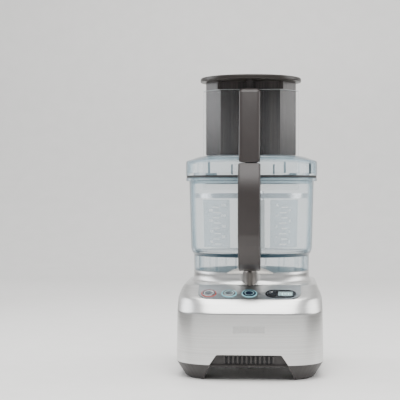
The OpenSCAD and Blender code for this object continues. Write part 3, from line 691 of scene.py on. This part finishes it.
def curved_patch(name, angle0, angle1, z0, z1, radii, thick, material, n=14):
    """Thin patch that follows a round wall, with an inner radius at each end of its height.

    Angles are in degrees from the front, to the right.
    """
    rings = []
    for i in range(n + 1):
        a = FRONT + math.radians(angle0 + (angle1 - angle0) * i / n)
        section = ((radii[0], z0), (radii[0] + thick, z0), (radii[1] + thick, z1), (radii[1], z1))
        rings.append([around(r, a, z) for r, z in section])
    return loft(name, rings, material)


def wall_radius(z):
    """Radius of the bowl's outer wall at height z."""
    return 90.5 + (z - 178) * (93.2 - 90.5) / (275 - 178)


MARK_LIFT, MARK_THICK = 0.02, 0.12
SCALE_LOW, SCALE_HIGH = 181, 250


def scale_number(text, angle, z, h):
    """Numerals of short bars on the bowl's wall."""
    r = wall_radius(z)
    radii = (r + MARK_LIFT, r + MARK_LIFT)
    bars = []
    for i, digit in enumerate(text):
        x = (i - (len(text) - 1) / 2) * h * 0.85
        for bx, by, bw, bh in lit_bars(digit, h, h * 0.16):
            mid, half = angle + math.degrees((x + bx) / r), math.degrees(bw / 2 / r)
            low, high = z + by - bh / 2, z + by + bh / 2
            bars.append(
                curved_patch("bar", mid - half, mid + half, low, high, radii, MARK_THICK, print_white, 1))
    return bars


def graduations():
    """Ticks and numbers on both sides of the handle, and pale sheets inside the wall that paint the
    reflections of bright windows on it.
    """
    marks = []
    for side in (-1, 1):
        for i in range(8):
            z = 186 + i * 7.6
            r = wall_radius(z) + MARK_LIFT
            outer, inner = (58, 47) if i % 2 else (56, 44)
            a0, a1 = sorted((side * outer * 0.62, side * inner * 0.62))
            marks.append(curved_patch("tick", a0, a1, z - 0.45, z + 0.45, (r, r), MARK_THICK, print_white, 6))
            number = str(2 * (i + 1)) if side > 0 else str(4 * (i + 1)) + "0"
            marks += scale_number(number, side * (24.5 if i % 2 else 38), z + 3.2, 3.0)
    place(join(marks, "scale_marks"), "bowl", "clear_plastic")
    # Pale sheets just inside the wall: painted reflections of bright windows.
    radii = (wall_radius(SCALE_LOW) - 3.0, wall_radius(SCALE_HIGH) - 3.0)
    panels = [
        curved_patch("panel", a0, a1, SCALE_LOW, SCALE_HIGH, radii, 0.25, scale_reflection_sheet, 20)
        for a0, a1 in ((-50, -19), (19, 50))
    ]
    place(join(panels, "scale_reflection_panels"), "bowl", "clear_plastic")


graduations()


def skirt_ribs():
    """Upright ribs inside the clear skirt below the bowl's floor."""
    ribs = []
    for i in range(16):
        a = math.radians(i * 22.5 + 8)
        out, along = Vector((math.cos(a), math.sin(a), 0)), Vector((-math.sin(a), math.cos(a), 0))
        rings = [
            [Vector((0, AXIS_Y, z * MM)) + (out * r + along * w) * MM
             for r, w in ((79.8, -0.9), (83.2, -0.9), (83.2, 0.9), (79.8, 0.9))]
            for z in (147, 168.5)
        ]
        ribs.append(loft("rib", rings, clear_blue))
    place(join(ribs, "skirt_ribs"), "bowl", "clear_plastic")


skirt_ribs()

# ---------------------------------------------------------------- lid and chute
LID_PROFILE = [
    (86.8, 273.2), (89.1, 273.2), (89.3, 285.5), (97.8, 285.5), (98.2, 286), (98.3, 288), (98.3, 304.6),
    (98.0, 306.2), (96.9, 307.3), (95, 308), (84, 312), (78, 313.9), (72, 314.5), (9, 314.5), (0.02, 314.5),
    (0.02, 311.5), (71, 311.5), (77, 311), (84, 309), (93.6, 305.4), (95, 304), (95.3, 302), (95.3, 289.4),
    (94.4, 288.6), (87.4, 288.5), (86.8, 287.8),
]
CHUTE = [(-45, -68), (45, -68), (70, -36), (70, -21), (58, -12), (-58, -12), (-70, -21), (-70, -36)]
CHUTE_ROUND = [4, 4, 9, 5, 5, 5, 5, 9]


def chute_ring(d, z):
    """The chute's outline at height z, moved in by d mm."""
    return [ahead(p.x, -p.y, z) for p in inset(fillet(CHUTE, CHUTE_ROUND, 6), d)]


def lid():
    """Clear lid with its chute, a whitish ring on the chute's lip as a painted highlight, the pale plug below
    the seal, and the hub.
    """
    shell = revolve("lid_clear", LID_PROFILE, clear_blue)
    cut(shell, loft("chute_cutter", [chute_ring(3.0, z) for z in (270, 330)], clear_blue))
    refinish(shell, clear_blue, 35)
    place(shell, "lid", "clear_plastic", "lid")
    outer = [(0.3, 264.0), (0.0, 264.6), (0.0, 408.6), (0.0, 409.4), (0.5, 410)]
    inner = [(2.5, 410), (3.0, 409.4), (3.0, 264.6), (2.7, 264)]
    chute = loft("chute_clear", [chute_ring(d, z) for d, z in outer + inner], chute_clear, closed=True)
    place(chute, "lid", "clear_plastic")
    # A whitish ring on the chute's top edge paints the highlight along it.
    lip_rings = [chute_ring(d, z) for d, z in ((0.05, 409.3), (0.5, 410), (2.5, 410), (2.95, 409.3))]
    place(loft("chute_lip", lip_rings, chute_lip_highlight, closed=True), "lid", "clear_plastic")
    plug = revolve("lid_plug", [(87.4, 273.8), (88.5, 273.8), (88.5, 281.2), (87.4, 281.2)], plug_clear)
    place(plug, "lid", "clear_plastic")
    hub = revolve("lid_hub", [(6.1, 288), (9, 288), (9, 312), (6.1, 312)], clear_blue, n=64)
    place(hub, "lid", "clear_plastic")


lid()


def lid_details():
    """Ribs and bayonet tabs on the lid's rim, and the dark stop on its right."""
    tabs = []
    for a in (-62, -38, 31, 47, 120, 160, 200, 240):
        tabs.append(curved_patch("tab", a - 0.6, a + 0.6, 288.6, 304.5, (95.2, 95.2), 2.6, clear_blue, 2))
    place(join(tabs, "lid_ribs"), "lid", "clear_plastic")
    ramps = []
    for a in (-55, 35, 125, 215):
        ramps.append(curved_patch("ramp", a, a + 26, 286.2, 288.2, (97.6, 97.6), 0.6, clear_blue))
    place(join(ramps, "lid_ramps"), "lid", "clear_plastic")
    stop = curved_patch("lid_stop", 63.4, 65.0, 287.5, 303, (94.9, 94.9), 3.0, gloss_black, 2)
    place(stop, "lid", "dark_plastic")


lid_details()

# ---------------------------------------------------------------- handle and latch cover
# Outlines seen from the side, as (f, z) in mm, with a rounding for each corner. The front of the grip is a
# curve that leans back faster towards the top.
GRIP_STEPS = 14
GRIP_FRONT = [
    (148 - 15.6 * (k / GRIP_STEPS) ** 1.9, 250 + 51.8 * k / GRIP_STEPS) for k in range(GRIP_STEPS, -1, -1)
]
HANDLE_SIDE = [
    (91.2, 256.6), (93.2, 276), (99.6, 276), (99.6, 301.8), *GRIP_FRONT, (148, 200), (144.5, 186),
    (138, 173), (129, 160), (121, 152.8), (112, 149.6), (102, 149.8), (99.6, 152.6), (99.6, 156.2),
    (86.2, 156.2), (86.2, 168), (90.8, 180), (105, 180), (112, 183.5), (116, 190), (117, 198), (117, 240),
    (115, 248), (109, 254.5), (101, 257),
]
HANDLE_ROUND = [0, 0.6, 0.6, 1.5, 3, *[2] * GRIP_STEPS, 25, 20, 20, 20, 12, 9, 4, 1, 1, 0.6, 0.6, 0.6, 8, 6,
                6, 10, 10, 6, 6, 4]
HANDLE_CROWN = [(1.0, 2.2), (0.985, 1.3), (0.95, 0.65), (0.89, 0.2), (0.8, 0.0), (0.4, 0.0), (0.0, 0.0)]
ROD_WAYS = [
    [(120, 162.5), (127, 162.5), (127, 310), (120, 310)],
    [(88, 162.6), (126.9, 162.6), (126.9, 175), (88, 175)],
    [(88, 150), (96.6, 150), (96.6, 163), (88, 163)],
]
STRIP_SIDE = [
    (68.2, 316), (68.2, 408), (110, 408), (114, 403.5), (133, 302.7), (100.5, 302.7), (100.5, 308), (79, 316),
]
STRIP_ROUND = [0.4, 0.4, 4, 6, 2, 1, 1, 1]
STRIP_CROWN = [(1.0, 4.6), (0.985, 3.2), (0.94, 2.0), (0.86, 1.1), (0.74, 0.5), (0.55, 0.15), (0.3, 0.0),
               (0.0, 0.0)]
STRIP_HOLLOW = [
    (66, 320), (66, 405), (107.5, 405), (110.3, 402), (129.6, 301), (103.5, 301), (103.5, 310.5), (79, 319),
]


def handle():
    """D handle with the ways that its rod slides in."""
    obj = pillow("handle_shell", fillet(HANDLE_SIDE, HANDLE_ROUND, 5), 15.5, HANDLE_CROWN, charcoal)
    for way in ROD_WAYS:
        side_cut(obj, way, 4.5, "FAST")
    refinish(obj, charcoal, 50)
    place(obj, "bowl", "dark_plastic", "bowl_handle")


def latch_strip():
    """Strip down the front of the chute, hollow for the lid's rod."""
    obj = pillow("latch_strip", fillet(STRIP_SIDE, STRIP_ROUND, 5), 14.8, STRIP_CROWN, charcoal)
    side_cut(obj, STRIP_HOLLOW, 12.2)
    refinish(obj, charcoal, 50)
    place(obj, "lid", "dark_plastic", "latch_cover")


handle()
latch_strip()

# ---------------------------------------------------------------- pushers
CHUTE_FIT = 3.8


def pusher():
    """Hollow pusher, in by CHUTE_FIT from the chute's outside, with two stops at its front corners."""
    rows = [(1.2, 315.0), (0.3, 315.4), (0.0, 316.4), (0.0, 421.4), (2.4, 421.4), (2.4, 317.4)]
    body = loft("pusher_shell", [chute_ring(CHUTE_FIT + d, z) for d, z in rows], pusher_grey)
    place(body, "pusher", "dark_plastic", "pusher")
    outlines = [rounded_box(x, -64.6, 4.6, 6.4, 1.0, 4) for x in (-45.5, 45.5)]
    stops = [prism("stop", outline, 410.2, 421.4, charcoal) for outline in outlines]
    place(join(stops, "pusher_stops"), "pusher", "dark_plastic")


pusher()

PUSHER_F = 40
CAP_PROFILE = [
    (19.6, 421.5), (72.2, 421.5), (73.2, 421.7), (73.7, 422.3), (73.8, 423.2), (73.75, 425.9), (73.4, 426.8),
    (72.6, 427.4), (70.6, 427.85), (67, 428), (64.5, 427.9), (61.5, 427.4), (59, 427.1), (30, 427.1),
    (25.4, 427.1), (24.5, 426.8), (24.4, 424.6), (19.6, 424.6),
]
SMALL_CAP_PROFILE = [
    (0.02, 424.7), (23.6, 424.7), (23.9, 425.2), (23.9, 427.2), (23.6, 427.7), (22.8, 428), (20.5, 428),
    (19, 427.5), (14, 426.3), (7, 425.9), (0.02, 425.8),
]
cap = revolve("pusher_lid", CAP_PROFILE, cap_grey, f=PUSHER_F)
place(cap, "pusher", "dark_plastic", "pusher_cap")
small_cap = revolve("small_pusher_lid", SMALL_CAP_PROFILE, cap_grey, f=PUSHER_F, n=96)
place(small_cap, "small_pusher", "dark_plastic", "small_pusher_cap")


def pusher_tab():
    """Tab at the pusher's front that presses the lid's rod."""
    corners = [(-4.4, 398), (4.4, 398), (4.4, 416), (4.4, 421.6), (-4.4, 421.6), (-4.4, 416)]
    outline = fillet(corners, [2, 2, 0, 0, 0, 0], 4)
    rings = [[ahead(p.x, f, p.y) for p in outline] for f in (92, 88)]
    place(loft("pusher_tab", rings, pusher_grey), "pusher", "dark_plastic")


pusher_tab()

# ---------------------------------------------------------------- camera, light, floor
CAMERA_DISTANCE, CAMERA_SIDE, CAMERA_HEIGHT = 1.83, 0.045, 0.264
CAMERA_HEADING = math.radians(3.827)

camera_data = bpy.data.cameras.new("camera")
camera_data.sensor_width = 36
camera_data.lens = 109.6
camera_data.shift_y = -0.025
camera = bpy.data.objects.new("camera", camera_data)
camera.location = (CAMERA_SIDE, AXIS_Y - CAMERA_DISTANCE, CAMERA_HEIGHT)
camera.rotation_euler = (math.radians(90), 0, CAMERA_HEADING)
bpy.context.scene.collection.objects.link(camera)
bpy.context.scene.camera = camera


def softbox(name, location, target, size, power, colour):
    data = bpy.data.lights.new(name, "AREA")
    data.shape, data.size, data.size_y = "RECTANGLE", size[0], size[1]
    data.energy, data.color = power, colour
    lamp = bpy.data.objects.new(name, data)
    lamp.location = location
    lamp.rotation_euler = (Vector(target) - Vector(location)).to_track_quat("-Z", "Y").to_euler()
    bpy.context.scene.collection.objects.link(lamp)


softbox("overhead", (0, -0.1, 1.9), (0, 0.0, 0.1), (1.8, 1.4), 48, (1, 0.99, 0.97))
softbox("front_window", (0.1, -1.75, 2.15), (0, 0, 0.2), (2.4, 1.0), 52, (1, 0.995, 0.985))
softbox("left_window", (-1.7, 0.35, 0.86), (0, 0, 0.4), (1.0, 1.35), 18, (0.97, 0.98, 1))
softbox("right_window", (1.7, 0.35, 0.86), (0, 0, 0.4), (1.0, 1.35), 18, (1, 0.99, 0.98))

world = bpy.data.worlds.new("world")
bpy.context.scene.world = world
world.use_nodes = True
background = world.node_tree.nodes["Background"]
background.inputs["Color"].default_value = (0.93, 0.945, 0.96, 1)
background.inputs["Strength"].default_value = 0.55

floor_material = moulded(
    "pale_floor", (0.86, 0.85, 0.835), (0.89, 0.88, 0.865), (0.35, 0.5), grain=60.0, bump=0.02)
FLOOR_FRONT, FLOOR_BACK, FLOOR_CURVE, FLOOR_HALF_W = -4.0, 1.6, 0.9, 5


def floor_sweep(steps=24):
    """Flat floor that curves up into a wall behind the machine, as (y, z)."""
    points = []
    for k in range(steps + 1):
        t = k / steps
        if t < 0.4:
            points.append((FLOOR_FRONT + (FLOOR_BACK - FLOOR_FRONT) * t / 0.4, 0.0))
        elif t < 0.7:
            a = (t - 0.4) / 0.3 * math.pi / 2
            points.append((FLOOR_BACK + FLOOR_CURVE * math.sin(a), FLOOR_CURVE * (1 - math.cos(a))))
        else:
            points.append((FLOOR_BACK + FLOOR_CURVE, FLOOR_CURVE + (t - 0.7) / 0.3 * 3))
    return points


sweep = floor_sweep()
floor_verts = [(x, y, z) for y, z in sweep for x in (-FLOOR_HALF_W, FLOOR_HALF_W)]
floor_faces = [(2 * k, 2 * k + 1, 2 * k + 3, 2 * k + 2) for k in range(len(sweep) - 1)]
floor = object_from("floor", floor_verts, floor_faces, floor_material, angle=60)

# Low dark flags beside the machine darken the sides of the silver housing.
FLAG_X, FLAG_HEIGHT = 0.8, 0.15
for side in (-1, 1):
    x = side * FLAG_X
    corners = [(x, -0.35, 0.001), (x, 1.1, 0.001), (x, 1.1, FLAG_HEIGHT), (x, -0.35, FLAG_HEIGHT)]
    flag = object_from("flag", corners, [(0, 1, 2, 3)], pan_plastic)
    flag.visible_camera = False
